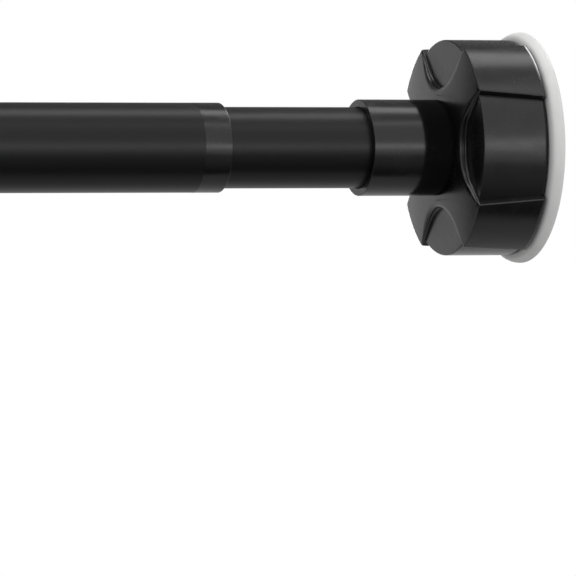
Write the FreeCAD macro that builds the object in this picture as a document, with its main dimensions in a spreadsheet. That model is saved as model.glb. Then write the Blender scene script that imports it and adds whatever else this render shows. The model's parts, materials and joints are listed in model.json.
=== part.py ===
import FreeCAD, Part
import math
import os
from types import SimpleNamespace

import Sketcher
from FreeCAD import Placement, Rotation, Vector

# Spring tension rod that stands between two walls.
# X runs along the rod, from the centre of the left pad's wall face towards the adjusting end, Z is up.
# All lengths are millimetres and all angles degrees. The rod is drawn with its adjusting end almost fully screwed in.

# Driving dimensions
SIZES = [
    # Tubes
    ("outer_tube_diameter", 25.0),
    ("tube_gap", 0.55),
    ("tube_wall", 0.6),
    ("outer_tube_length", 680.0),
    ("inner_tube_length", 645.0),
    # Plastic ring in the mouth of the outer tube
    ("ring_length", 7.9),
    ("ring_spigot_length", 12.0),
    ("ring_running_gap", 0.15),
    ("ring_edge_radius", 0.3),
    ("tube_shown", 41.4),
    ("closing_travel", 28.2),
    # End knobs, alike at both ends apart from the collar
    ("knob_diameter", 64.2),
    ("notch_step", 1.8),
    ("knob_side_length", 19.8),
    ("knob_cone_rise", 1.8),
    ("notch_floor_depth", 0.6),
    ("notch_tip_distance", 16.6),
    ("notch_tip_radius", 14.0),
    ("notch_angle", 60.0),
    ("notch_draft", 5.0),
    ("knob_wall", 2.4),
    ("knob_front_wall", 2.1),
    ("knob_web", 2.6),
    ("hub_wall", 2.0),
    ("rib_thickness", 1.6),
    ("notch_edge_radius", 0.8),
    ("knob_edge_radius", 0.4),
    ("collar_edge_radius", 0.2),
    ("collar_wall", 1.15),
    ("collar_length", 25.3),
    ("collar_gap", 1.0),
    ("socket_gap", 0.05),
    # Silicone pads and the plates that carry them
    ("pad_diameter", 65.0),
    ("pad_thickness", 4.2),
    ("pad_gap", 0.3),
    ("pad_front_radius", 3.2),
    ("pad_wall_radius", 0.8),
    ("pad_groove_width", 1.2),
    ("pad_groove_depth", 0.6),
    ("pad_groove_spacing", 6.5),
    ("plate_thickness", 3.0),
    ("plate_gap", 0.3),
    ("plate_hub_diameter", 19.0),
    ("plate_hub_length", 1.5),
    ("hub_running_gap", 0.1),
    # Screws that hold the plates
    ("screw_diameter", 5.0),
    ("screw_hole_gap", 0.1),
    ("screw_head_diameter", 11.0),
    ("screw_head_thickness", 2.2),
    ("screw_head_sink", 0.4),
    ("screw_head_gap", 0.4),
    ("screw_socket_flats", 3.0),
    ("screw_socket_depth", 1.3),
    ("cap_screw_grip", 18.0),
    ("pivot_screw_grip", 12.0),
    # Plug in the fixed end of the outer tube
    ("plug_length", 24.0),
    ("plug_floor", 6.0),
    ("plug_skirt", 2.2),
    ("plug_boss_diameter", 11.0),
    # Screw spindle of the adjusting end, and its nut
    ("spindle_head_flats", 19.0),
    ("spindle_head_thickness", 3.5),
    ("spindle_tip_chamfer", 1.0),
    ("screw_travel", 15.0),
    ("thread_gap", 0.1),
    ("nut_wall", 2.4),
    ("nut_flange_thickness", 4.0),
    ("nut_flange_gap", 0.35),
    ("nut_length", 22.0),
    ("key_width", 3.0),
    ("key_height", 1.1),
    ("guide_gap", 0.1),
    ("bush_length", 24.0),
    ("bush_wall", 2.15),
    ("bush_flange_thickness", 1.5),
    ("spring_travel", 10.0),
    ("bump_gap", 0.8),
    # Compression spring
    ("spring_length", 56.0),
    ("spring_gap", 0.55),
    ("spring_wire", 2.4),
    ("spring_pitch", 9.0),
    ("washer_thickness", 1.2),
    ("washer_gap", 0.4),
    ("stop_length", 18.0),
    ("stop_boss_length", 6.0),
    ("stop_hole_diameter", 6.0),
    # Twist lock inside the outer tube
    ("lock_flange_thickness", 2.0),
    ("lock_plug_length", 20.0),
    ("bolt_diameter", 8.0),
    ("bolt_head_flats", 13.0),
    ("bolt_head_thickness", 5.3),
    ("sleeve_gap", 0.1),
    ("sleeve_end_gap", 0.2),
    ("sleeve_length", 30.0),
    ("sleeve_wall", 2.2),
    ("sleeve_cone_depth", 20.0),
    ("sleeve_step", 1.05),
    ("sleeve_slot_width", 2.4),
    ("sleeve_slot_depth", 23.0),
    ("wedge_gap", 0.15),
    ("wedge_overhang", 5.0),
    ("wedge_length", 22.0),
    ("wedge_room", 3.0),
    ("bolt_head_room", 3.0),
]
NOTCH_COUNT = 4
RIB_COUNT = 8
KEY_COUNT = 2
SLOT_COUNT = 4
GROOVE_COUNT = 4
WIRE_SIDES = 8
# Overlap with which a rib, key or cutter reaches into the wall beside it
BITE = 0.5
# How far a cutter reaches past the outside of what it cuts
REACH = 4.0
TOLERANCE = 1e-4
# Distance within which an edge counts as lying on a face
CLOSE = 1e-3
# Points along an edge that are looked at to tell where it lies
EDGE_SAMPLES = 5


class Length:
    """A length that remembers the spreadsheet expression it was worked out with."""

    def __init__(self, value, text=None):
        self.value = value
        self.text = text if text is not None else repr(value)

    def __add__(self, other):
        other = as_length(other)
        return Length(self.value + other.value, f"({self.text} + {other.text})")

    def __sub__(self, other):
        other = as_length(other)
        return Length(self.value - other.value, f"({self.text} - {other.text})")

    def __mul__(self, factor):
        factor = as_length(factor)
        return Length(self.value * factor.value, f"({self.text} * {factor.text})")

    def __truediv__(self, divisor):
        divisor = as_length(divisor)
        return Length(self.value / divisor.value, f"({self.text} / {divisor.text})")

    def __neg__(self):
        return Length(-self.value, f"(-1 * {self.text})")

    __radd__ = __add__
    __rmul__ = __mul__


def as_length(number):
    return number if isinstance(number, Length) else Length(float(number))


def longer(first, second):
    return Length(max(first.value, second.value), f"max({first.text}; {second.text})")


doc = FreeCAD.newDocument("spring_tension_rod")
sheet = doc.addObject("Spreadsheet::Sheet", "Sizes")
size = SimpleNamespace()


def enter(alias, content, millimetres):
    """Give a size its own row in the sheet, as a number or as a formula."""
    row = len(vars(size)) + 1
    sheet.set(f"A{row}", alias.replace("_", " "))
    sheet.set(f"B{row}", content)
    sheet.setAlias(f"B{row}", alias)
    setattr(size, alias, Length(millimetres, f"Sizes.{alias}"))


def tie(alias, length):
    """Enter a size that follows from others, as a formula under its own name."""
    enter(alias, "=" + length.text.replace("Sizes.", ""), length.value)


for alias, millimetres in SIZES:
    enter(alias, str(millimetres), millimetres)

# Sizes that follow from the piece they fit, with a named wall, step or clearance between
tie("inner_tube_diameter", size.outer_tube_diameter - (size.tube_wall + size.tube_gap) * 2)
inner_tube_bore = size.inner_tube_diameter - size.tube_wall * 2
tie("collar_diameter", size.inner_tube_diameter + (size.collar_gap + size.collar_wall) * 2)
tie("spring_diameter", inner_tube_bore - size.spring_gap * 2)
nut_diameter = inner_tube_bore - (size.bush_wall + size.guide_gap) * 2
tie("spindle_diameter", nut_diameter - (size.nut_wall + size.thread_gap) * 2)
tie("knob_recess_diameter", size.knob_diameter - size.notch_step * 2)
sleeve_mouth = size.outer_tube_diameter / 2 - size.tube_wall - size.sleeve_gap - size.sleeve_wall
sleeve_bore = size.bolt_diameter / 2 + size.wedge_gap
tie("sleeve_cone_drop", sleeve_mouth - sleeve_bore - size.sleeve_step)
doc.recompute()

ZERO = Length(0.0)
pieces = []


# Sketch and feature helpers

def new_body(label, x, mirrored=False):
    """A piece of the rod; a mirrored one is drawn from its right end towards the left."""
    body = doc.addObject("PartDesign::Body", label)
    body.Label = label
    turn = Rotation(Vector(0, 0, 1), 180 if mirrored else 0)
    body.Placement = Placement(Vector(x.value, 0, 0), turn)
    body.setExpression("Placement.Base.x", x.text)
    pieces.append(body)
    return body


def origin_part(body, role):
    return next(part for part in body.Origin.OriginFeatures if part.Role == role)


def new_sketch(body, name, plane, offset=ZERO):
    sketch = body.newObject("Sketcher::SketchObject", name)
    sketch.AttachmentSupport = [(origin_part(body, plane), "")]
    sketch.MapMode = "FlatFace"
    if offset is not ZERO:
        sketch.setExpression("AttachmentOffset.Base.z", offset.text)
    return sketch


def hold(sketch, kind, *arguments):
    """Add a dimension, its last argument a Length, and bind it to the spreadsheet."""
    *references, length = arguments
    index = sketch.addConstraint(Sketcher.Constraint(kind, *references, length.value))
    sketch.setExpression(f"Constraints[{index}]", length.text)


def hold_point(sketch, edge, end, across, up):
    """Fix an edge's end at a distance across and up from the sketch's origin."""
    for kind, axis, length in (("DistanceX", -2, across), ("DistanceY", -1, up)):
        if abs(length.value) < TOLERANCE:
            sketch.addConstraint(Sketcher.Constraint("PointOnObject", edge, end, axis))
        elif length.value > 0:
            hold(sketch, kind, -1, 1, edge, end, length)
        else:
            hold(sketch, kind, edge, end, -1, 1, -length)


def draw_polygon(sketch, points):
    points = [(as_length(across), as_length(up)) for across, up in points]
    corners = [Vector(across.value, up.value, 0) for across, up in points]
    edges = []
    for start, end in zip(corners, corners[1:] + corners[:1]):
        edges.append(sketch.addGeometry(Part.LineSegment(start, end), False))
    for edge, following in zip(edges, edges[1:] + edges[:1]):
        sketch.addConstraint(Sketcher.Constraint("Coincident", edge, 2, following, 1))
    for edge, (across, up) in zip(edges, points):
        hold_point(sketch, edge, 1, across, up)


def draw_circle(sketch, radius):
    circle = sketch.addGeometry(Part.Circle(Vector(), Vector(0, 0, 1), radius.value), False)
    sketch.addConstraint(Sketcher.Constraint("Coincident", circle, 3, -1, 1))
    hold(sketch, "Radius", circle, radius)


def draw_hexagon(sketch, flats):
    corner = flats / math.sqrt(3)
    points = [(corner, ZERO), (corner / 2, flats / 2), (-(corner / 2), flats / 2)]
    points += [(-corner, ZERO), (-(corner / 2), -(flats / 2)), (corner / 2, -(flats / 2))]
    draw_polygon(sketch, points)


def draw_bar(sketch, width, low, high):
    """A bar that stands on the rod's axis, from one distance out to another."""
    half = width / 2
    draw_polygon(sketch, [(-half, low), (half, low), (half, high), (-half, high)])


def revolve(body, name, points):
    """Turn a section, given as distances along and out from the axis, round the rod's axis."""
    sketch = new_sketch(body, f"{name}_section", "XY_Plane")
    draw_polygon(sketch, points)
    feature = body.newObject("PartDesign::Revolution", name)
    feature.Profile = sketch
    feature.ReferenceAxis = (sketch, ["H_Axis"])
    feature.Angle = 360
    doc.recompute()
    return feature


def pad(body, name, sketch, length):
    feature = body.newObject("PartDesign::Pad", name)
    feature.Profile = sketch
    feature.setExpression("Length", length.text)
    doc.recompute()
    return feature


def pocket(body, name, sketch, length=None, towards_rod=True, draft=None):
    """Cut a sketch away, to a depth or right through, and make sure that it met the solid.

    A draft is the angle by which the cut narrows as it gets deeper.
    """
    before = body.Shape.Volume
    feature = body.newObject("PartDesign::Pocket", name)
    feature.Profile = sketch
    feature.Reversed = towards_rod
    if length is None:
        feature.Type = "ThroughAll"
    else:
        feature.setExpression("Length", length.text)
    if draft is not None:
        feature.setExpression("TaperAngle", f"{(-draft).text} * 1 deg")
    doc.recompute()
    if body.Shape.Volume >= before - TOLERANCE:
        raise RuntimeError(f"{name} cuts nothing")
    return feature


def ring_of(body, name, feature, count):
    pattern = body.newObject("PartDesign::PolarPattern", name)
    pattern.Originals = [feature]
    pattern.Axis = (origin_part(body, "X_Axis"), [""])
    pattern.Angle = 360
    pattern.Occurrences = count
    body.Tip = pattern
    doc.recompute()
    return pattern


def round_edges(body, name, radius, belongs, spared=None):
    """Fillet each edge whose sample points all pass one test, unless they all pass the other."""
    base = body.Tip
    names = []
    for number, edge in enumerate(base.Shape.Edges, start=1):
        places = [(point.x, math.hypot(point.y, point.z)) for point in edge.discretize(EDGE_SAMPLES)]
        kept_sharp = spared is not None and all(spared(*place) for place in places)
        if all(belongs(*place) for place in places) and not kept_sharp:
            names.append(f"Edge{number}")
    feature = body.newObject("PartDesign::Fillet", name)
    feature.Base = (base, names)
    feature.setExpression("Radius", radius.text)
    doc.recompute()
    return feature


def near(first, second):
    return abs(first - second) < CLOSE


# Radii that several pieces share
outer_radius = size.outer_tube_diameter / 2
outer_bore = outer_radius - size.tube_wall
inner_radius = size.inner_tube_diameter / 2
inner_bore = inner_radius - size.tube_wall
nut_radius = nut_diameter / 2
spindle_radius = size.spindle_diameter / 2
spring_radius = size.spring_diameter / 2
knob_radius = size.knob_diameter / 2
recess_radius = size.knob_recess_diameter / 2
shell_radius = recess_radius - size.knob_wall
collar_bore = inner_radius + size.collar_gap
collar_radius = size.collar_diameter / 2
screw_radius = size.screw_diameter / 2

# Places along the rod, from the left wall to the mouth of the outer tube
left_plate_x = size.pad_thickness
left_knob_x = left_plate_x + size.pad_gap
left_web_x = left_plate_x + size.plate_thickness + size.plate_hub_length
outer_tube_x = left_web_x + size.knob_web
ring_x = outer_tube_x + size.outer_tube_length - size.ring_spigot_length
ring_end_x = outer_tube_x + size.outer_tube_length + size.ring_length

# Distances from the right knob's wall side back to the end of the lock bolt
spindle_back = size.plate_thickness + size.plate_hub_length + size.hub_running_gap - size.pad_gap
web_back = spindle_back + size.spindle_head_thickness + size.knob_web
tube_back = web_back + size.spring_travel + size.bump_gap + size.bush_flange_thickness
lock_back = tube_back + size.inner_tube_length + size.lock_flange_thickness
sleeve_back = lock_back + size.sleeve_end_gap + size.sleeve_length
bolt_back = sleeve_back + size.wedge_overhang + size.wedge_room + size.bolt_head_thickness

# The inner tube is drawn out far enough to show its length and to let the rod close by its travel
shown_x = ring_end_x + size.tube_shown + size.collar_length + size.knob_side_length
closing_x = outer_tube_x + size.plug_length + size.closing_travel + size.bolt_head_room + bolt_back
right_knob_x = longer(shown_x, closing_x)

# Places along the rod, from the right wall back to the lock
right_plate_x = right_knob_x + size.pad_gap
right_wall_x = right_plate_x + size.pad_thickness
spindle_x = right_knob_x - spindle_back
tube_end_x = right_knob_x - tube_back
inner_tube_x = tube_end_x - size.inner_tube_length
bush_x = tube_end_x - size.bush_length
nut_x = bush_x - size.nut_flange_thickness
washer_x = nut_x - size.washer_thickness
spring_x = washer_x - size.spring_length
stop_x = spring_x - size.stop_length
spindle_tip_x = nut_x - size.screw_travel
lock_plug_x = right_knob_x - lock_back
sleeve_x = right_knob_x - sleeve_back
wedge_x = sleeve_x - size.wedge_overhang
bolt_x = right_knob_x - bolt_back


# Tubes and mouth ring

def build_tube(label, x, radius, length):
    body = new_body(label, x)
    section = new_sketch(body, f"{label}_section", "YZ_Plane")
    draw_circle(section, radius)
    draw_circle(section, radius - size.tube_wall)
    pad(body, f"{label}_run", section, length)


def build_mouth_ring():
    """A bush pressed into the outer tube, whose flush lip closes the step between the tubes."""
    body = new_body("mouth_ring", ring_x)
    bore = inner_radius + size.ring_running_gap
    end = size.ring_spigot_length + size.ring_length
    revolve(body, "ring", [
        (ZERO, bore), (ZERO, outer_bore),
        (size.ring_spigot_length, outer_bore), (size.ring_spigot_length, outer_radius),
        (end, outer_radius), (end, bore),
    ])
    round_edges(body, "ring_edge", size.ring_edge_radius,
                lambda at, out: near(at, end.value) and near(out, outer_radius.value))


# Knobs

def draw_notch(sketch):
    """A rounded V that opens outwards: two flanks, tangent to the arc at its tip."""
    rim = knob_radius
    half_angle = math.radians(size.notch_angle.value / 2)
    corner = Vector(rim.value * math.sin(half_angle), rim.value * math.cos(half_angle), 0)
    tip_radius = size.notch_tip_radius.value
    centre = Vector(0, size.notch_tip_distance.value + tip_radius, 0)
    # The flank runs from the rim's corner to where it touches the tip's arc
    span = (corner - centre).Length
    lean = math.atan2(corner.y - centre.y, corner.x) - math.acos(tip_radius / span)
    touch = centre + Vector(math.cos(lean), math.sin(lean), 0) * tip_radius
    flank = (corner - touch).normalize()
    outside = corner + flank * REACH
    left_touch = Vector(-touch.x, touch.y, 0)
    left_outside = Vector(-outside.x, outside.y, 0)

    circle = Part.Circle(centre, Vector(0, 0, 1), tip_radius)
    tip = sketch.addGeometry(Part.ArcOfCircle(circle, math.pi - lean, 2 * math.pi + lean), False)
    right = sketch.addGeometry(Part.LineSegment(touch, outside), False)
    top = sketch.addGeometry(Part.LineSegment(outside, left_outside), False)
    left = sketch.addGeometry(Part.LineSegment(left_outside, left_touch), False)
    mark = sketch.addGeometry(Part.Point(corner), True)
    for constraint in (
        ("Tangent", tip, 2, right, 1), ("Tangent", left, 2, tip, 1),
        ("Coincident", right, 2, top, 1), ("Coincident", top, 2, left, 1),
        ("PointOnObject", tip, 3, -2), ("Symmetric", right, 2, left, 1, -2),
        ("PointOnObject", mark, 1, right),
    ):
        sketch.addConstraint(Sketcher.Constraint(*constraint))
    half_turn = f"({size.notch_angle.text} / 2 * 1 deg)"
    hold(sketch, "Radius", tip, size.notch_tip_radius)
    hold(sketch, "DistanceY", -1, 1, tip, 3, size.notch_tip_distance + size.notch_tip_radius)
    hold(sketch, "DistanceX", -1, 1, mark, 1, Length(corner.x, f"{rim.text} * sin{half_turn}"))
    hold(sketch, "DistanceY", -1, 1, mark, 1, Length(corner.y, f"{rim.text} * cos{half_turn}"))
    hold(sketch, "DistanceY", -1, 1, right, 2, rim + REACH)


def build_knob(label, x, mirrored, bore, web, hole, mouth=None):
    """A moulded shell: raised drum with a shallow cone, four notches, hub, web and ribs.

    The section is drawn from the wall side towards the rod. The web has a rear and a front face,
    and a collar, where there is one, runs out along the rod to its mouth.
    """
    body = new_body(label, x, mirrored)
    rim = knob_radius
    shell = shell_radius
    collar = collar_radius
    hub = bore + size.hub_wall
    side = size.knob_side_length
    floor = side - size.notch_floor_depth
    inside = floor - size.knob_front_wall
    cone_top = side + size.knob_cone_rise
    web_rear, web_front = web
    collar_run = [(mouth, collar)] if mouth else []
    revolve(body, f"{label}_drum", [
        (ZERO, shell), (ZERO, rim), (side, rim), (cone_top, collar), *collar_run,
        (mouth or cone_top, bore), (web_front, bore), (web_front, hole), (web_rear, hole),
        (web_rear, hub), (inside, hub), (inside, shell),
    ])
    # The notches narrow towards the wall, so that the knob leaves its mould
    notch = new_sketch(body, f"{label}_notch_outline", "YZ_Plane", cone_top)
    draw_notch(notch)
    notch_cut = pocket(body, f"{label}_notch", notch, cone_top + BITE, False, size.notch_draft)
    ring_of(body, f"{label}_notches", notch_cut, NOTCH_COUNT)
    # The recessed wall and the notches' flat floors stand behind the raised drum
    revolve(body, f"{label}_recess", [
        (ZERO, shell), (ZERO, recess_radius), (floor, recess_radius), (floor, hub - BITE),
        (inside, hub - BITE), (inside, shell),
    ])
    rib = new_sketch(body, f"{label}_rib_outline", "YZ_Plane", web_rear)
    draw_bar(rib, size.rib_thickness, hub - BITE, shell + BITE)
    rib_pad = pad(body, f"{label}_rib", rib, inside - web_rear + BITE)
    ring_of(body, f"{label}_ribs", rib_pad, RIB_COUNT)

    def on_cone(at, out):
        cone = side.value + size.knob_cone_rise.value * (rim.value - out) / (rim.value - collar.value)
        return near(at, cone) and collar.value + BITE < out

    def on_rim(at, out):
        return near(out, rim.value)

    def on_drum(at, out):
        on_floor = near(at, floor.value) and near(out, recess_radius.value)
        return on_rim(at, out) or on_floor

    round_edges(body, f"{label}_notch_edges", size.notch_edge_radius, on_cone, on_rim)
    round_edges(body, f"{label}_drum_edges", size.knob_edge_radius, on_drum)
    if mouth:
        round_edges(body, f"{label}_mouth_edge", size.collar_edge_radius,
                    lambda at, out: near(at, mouth.value) and near(out, collar.value))
    return body


def build_left_knob():
    bore = outer_radius + size.socket_gap
    web_rear = left_web_x - left_knob_x
    hole = screw_radius + size.screw_hole_gap
    web = (web_rear, web_rear + size.knob_web)
    build_knob("left_knob", left_knob_x, False, bore, web, hole)


def build_right_knob():
    hole = spindle_radius + size.socket_gap
    mouth = size.knob_side_length + size.collar_length
    web = (spindle_back, web_back)
    body = build_knob("right_knob", right_knob_x, True, collar_bore, web, hole, mouth)
    seat = new_sketch(body, "spindle_seat_outline", "YZ_Plane", spindle_back)
    draw_hexagon(seat, size.spindle_head_flats + size.socket_gap * 2)
    pocket(body, "spindle_seat", seat, size.spindle_head_thickness)


# Pads, plates and their screws

def build_pad(label, x, mirrored):
    """A soft disc with suction grooves in its wall face and a rounded lip behind the knob."""
    body = new_body(label, x, mirrored)
    rim = size.pad_diameter / 2
    points = [(ZERO, ZERO)]
    for number in range(1, GROOVE_COUNT + 1):
        inner = size.pad_groove_spacing * number - size.pad_groove_width / 2
        outer = inner + size.pad_groove_width
        points += [(ZERO, inner), (size.pad_groove_depth, inner)]
        points += [(size.pad_groove_depth, outer), (ZERO, outer)]
    points += [(ZERO, rim), (size.pad_thickness, rim), (size.pad_thickness, ZERO)]
    revolve(body, f"{label}_disc", points)
    round_edges(body, f"{label}_lip", size.pad_front_radius,
                lambda at, out: near(at, size.pad_thickness.value) and near(out, rim.value))
    round_edges(body, f"{label}_edge", size.pad_wall_radius,
                lambda at, out: near(at, 0) and near(out, rim.value))


def build_pad_plate(label, x, mirrored):
    body = new_body(label, x, mirrored)
    rim = shell_radius - size.plate_gap
    hub = size.plate_hub_diameter / 2
    hub_end = size.plate_thickness + size.plate_hub_length
    hole = screw_radius + size.screw_hole_gap
    sink = size.screw_head_thickness + size.screw_head_sink
    sink_radius = size.screw_head_diameter / 2 + size.screw_head_gap
    revolve(body, f"{label}_disc", [
        (ZERO, sink_radius), (ZERO, rim), (size.plate_thickness, rim), (size.plate_thickness, hub),
        (hub_end, hub), (hub_end, hole), (sink, hole), (sink, sink_radius),
    ])


def build_screw(label, x, mirrored, length):
    """A flat-headed screw with a hexagon socket; length is that of its shank."""
    body = new_body(label, x, mirrored)
    head = size.screw_head_thickness
    rim = size.screw_head_diameter / 2
    revolve(body, f"{label}_blank", [
        (ZERO, ZERO), (ZERO, rim), (head, rim), (head, screw_radius),
        (head + length, screw_radius), (head + length, ZERO),
    ])
    socket = new_sketch(body, f"{label}_socket_outline", "YZ_Plane")
    draw_hexagon(socket, size.screw_socket_flats)
    pocket(body, f"{label}_socket", socket, size.screw_socket_depth)


def build_left_plug():
    """A cup-shaped plug in the outer tube's fixed end, with a boss for the cap screw."""
    body = new_body("left_tube_plug", outer_tube_x)
    hole = screw_radius + size.socket_gap
    boss = size.plug_boss_diameter / 2
    skirt = outer_bore - size.plug_skirt
    revolve(body, "plug", [
        (ZERO, hole), (ZERO, outer_bore), (size.plug_length, outer_bore), (size.plug_length, skirt),
        (size.plug_floor, skirt), (size.plug_floor, boss), (size.plug_length, boss),
        (size.plug_length, hole),
    ])


# Screw end and spring

def build_spindle():
    """The screw that turns with the right knob; its hexagon head sits in the knob's web."""
    body = new_body("spindle", spindle_x, mirrored=True)
    head = new_sketch(body, "spindle_head_outline", "YZ_Plane")
    draw_hexagon(head, size.spindle_head_flats)
    pad(body, "spindle_head", head, size.spindle_head_thickness)
    length = spindle_x - spindle_tip_x
    shaft = new_sketch(body, "spindle_shaft_outline", "YZ_Plane")
    draw_circle(shaft, spindle_radius)
    pad(body, "spindle_shaft", shaft, length)
    hole = new_sketch(body, "pivot_hole_outline", "YZ_Plane")
    draw_circle(hole, screw_radius + size.socket_gap)
    pocket(body, "pivot_hole", hole, size.pivot_screw_grip)
    blank = body.Tip
    tip = [f"Edge{number}" for number, edge in enumerate(blank.Shape.Edges, start=1)
           if all(near(vertex.X, length.value) for vertex in edge.Vertexes)]
    chamfer = body.newObject("PartDesign::Chamfer", "spindle_tip")
    chamfer.Base = (blank, tip)
    chamfer.setExpression("Size", size.spindle_tip_chamfer.text)
    doc.recompute()


def build_end_bush():
    """A guide pressed into the inner tube's end; two keyways stop the nut from turning."""
    body = new_body("end_bush", bush_x)
    bore = nut_radius + size.guide_gap
    end = size.bush_length + size.bush_flange_thickness
    revolve(body, "bush", [
        (ZERO, bore), (ZERO, inner_bore), (size.bush_length, inner_bore),
        (size.bush_length, inner_radius), (end, inner_radius), (end, bore),
    ])
    keyway = new_sketch(body, "keyway_outline", "YZ_Plane")
    draw_bar(keyway, size.key_width + size.guide_gap * 2, bore - BITE, bore + size.key_height)
    keyway_cut = pocket(body, "keyway", keyway)
    ring_of(body, "keyways", keyway_cut, KEY_COUNT)


def build_thrust_nut():
    """The sliding nut: its flange takes the spring, its keys run in the bush."""
    body = new_body("thrust_nut", nut_x)
    bore = spindle_radius + size.thread_gap
    flange = inner_bore - size.nut_flange_gap
    end = size.nut_flange_thickness + size.nut_length
    revolve(body, "nut", [
        (ZERO, bore), (ZERO, flange), (size.nut_flange_thickness, flange),
        (size.nut_flange_thickness, nut_radius), (end, nut_radius), (end, bore),
    ])
    key = new_sketch(body, "key_outline", "YZ_Plane", size.nut_flange_thickness)
    draw_bar(key, size.key_width, nut_radius - BITE, nut_radius + size.key_height)
    key_pad = pad(body, "key", key, size.nut_length)
    ring_of(body, "keys", key_pad, KEY_COUNT)


def build_spring():
    """A compression spring with both ends ground flat; eight sides stand for its round wire."""
    body = new_body("tension_spring", spring_x)
    wire = size.spring_wire / 2
    coil = spring_radius - wire
    section = new_sketch(body, "wire_section", "XY_Plane")
    turns = [math.pi * (2 * number + 1) / WIRE_SIDES for number in range(WIRE_SIDES)]
    draw_polygon(section, [(wire * math.cos(turn), coil + wire * math.sin(turn)) for turn in turns])
    helix = body.newObject("PartDesign::AdditiveHelix", "coils")
    helix.Profile = section
    helix.ReferenceAxis = (section, ["H_Axis"])
    helix.Mode = "pitch-height-angle"
    helix.setExpression("Pitch", size.spring_pitch.text)
    helix.setExpression("Height", size.spring_length.text)
    doc.recompute()
    for name, place, towards_rod in (("left_end", ZERO, False), ("right_end", size.spring_length, True)):
        face = new_sketch(body, f"{name}_outline", "YZ_Plane", place)
        draw_circle(face, spring_radius + REACH)
        pocket(body, f"{name}_grind", face, size.spring_wire, towards_rod)


def build_washer():
    body = new_body("spring_washer", washer_x)
    bore = spindle_radius + size.washer_gap
    rim = inner_bore - size.nut_flange_gap
    end = size.washer_thickness
    revolve(body, "washer", [(ZERO, bore), (ZERO, rim), (end, rim), (end, bore)])


def build_spring_stop():
    """A plug pressed into the inner tube, with a boss that centres the spring."""
    body = new_body("spring_stop", stop_x)
    boss = spring_radius - size.spring_wire - size.nut_flange_gap
    hole = size.stop_hole_diameter / 2
    end = size.stop_length + size.stop_boss_length
    revolve(body, "stop", [
        (ZERO, hole), (ZERO, inner_bore), (size.stop_length, inner_bore), (size.stop_length, boss),
        (end, boss), (end, hole),
    ])


# Twist lock

def build_lock_plug():
    body = new_body("lock_plug", lock_plug_x)
    hole = size.bolt_diameter / 2 + size.socket_gap
    end = size.lock_flange_thickness + size.lock_plug_length
    revolve(body, "lock_plug_body", [
        (ZERO, hole), (ZERO, inner_radius), (size.lock_flange_thickness, inner_radius),
        (size.lock_flange_thickness, inner_bore), (end, inner_bore), (end, hole),
    ])


def build_lock_bolt():
    """The bolt that turns with the inner tube and draws the wedge along."""
    body = new_body("lock_bolt", bolt_x)
    head = new_sketch(body, "bolt_head_outline", "YZ_Plane")
    draw_hexagon(head, size.bolt_head_flats)
    pad(body, "bolt_head", head, size.bolt_head_thickness)
    shank = new_sketch(body, "bolt_shank_outline", "YZ_Plane")
    draw_circle(shank, size.bolt_diameter / 2)
    end = lock_plug_x + size.lock_flange_thickness + size.lock_plug_length
    pad(body, "bolt_shank", shank, end - bolt_x)


def build_lock_sleeve():
    """A split sleeve that the wedge spreads against the outer tube's bore."""
    body = new_body("lock_sleeve", sleeve_x)
    outside = outer_bore - size.sleeve_gap
    revolve(body, "sleeve", [
        (ZERO, sleeve_mouth), (ZERO, outside), (size.sleeve_length, outside),
        (size.sleeve_length, sleeve_bore), (size.sleeve_cone_depth, sleeve_bore),
        (size.sleeve_cone_depth, sleeve_mouth - size.sleeve_cone_drop),
    ])
    slot = new_sketch(body, "slot_outline", "YZ_Plane")
    draw_bar(slot, size.sleeve_slot_width, ZERO, outside + REACH)
    slot_cut = pocket(body, "slot", slot, size.sleeve_slot_depth)
    ring_of(body, "slots", slot_cut, SLOT_COUNT)


def build_lock_wedge():
    """The conical nut inside the sleeve; its keys ride in the sleeve's slots."""
    body = new_body("lock_wedge", wedge_x)
    bore = size.bolt_diameter / 2 + size.thread_gap
    wide = sleeve_mouth - size.wedge_gap
    in_sleeve = size.wedge_length - size.wedge_overhang
    narrow = wide - size.sleeve_cone_drop * in_sleeve / size.sleeve_cone_depth
    revolve(body, "wedge", [
        (ZERO, bore), (ZERO, wide), (size.wedge_overhang, wide), (size.wedge_length, narrow),
        (size.wedge_length, bore),
    ])
    key = new_sketch(body, "wedge_key_outline", "YZ_Plane")
    key_top = outer_bore - size.sleeve_gap - size.wedge_gap
    draw_bar(key, size.sleeve_slot_width - size.wedge_gap * 2, narrow - BITE, key_top)
    key_pad = pad(body, "wedge_key", key, size.wedge_length)
    ring_of(body, "wedge_keys", key_pad, SLOT_COUNT)


# Build every piece

build_tube("outer_tube", outer_tube_x, outer_radius, size.outer_tube_length)
build_mouth_ring()
build_left_plug()
build_left_knob()
cap_screw_x = left_plate_x + size.screw_head_sink
build_screw("left_cap_screw", cap_screw_x, False,
            outer_tube_x + size.cap_screw_grip - cap_screw_x - size.screw_head_thickness)
build_pad_plate("left_pad_plate", left_plate_x, False)
build_pad("left_pad", ZERO, False)

build_lock_sleeve()
build_lock_wedge()
build_tube("inner_tube", inner_tube_x, inner_radius, size.inner_tube_length)
build_lock_plug()
build_lock_bolt()
build_spring_stop()
build_spring()
build_washer()
build_end_bush()
build_thrust_nut()

build_spindle()
build_right_knob()
pivot_screw_x = right_plate_x - size.screw_head_sink + size.hub_running_gap
build_screw("pivot_screw", pivot_screw_x, True,
            pivot_screw_x - size.screw_head_thickness - spindle_x + size.pivot_screw_grip - BITE)
build_pad_plate("right_pad_plate", right_plate_x, True)
build_pad("right_pad", right_wall_x, True)

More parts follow.
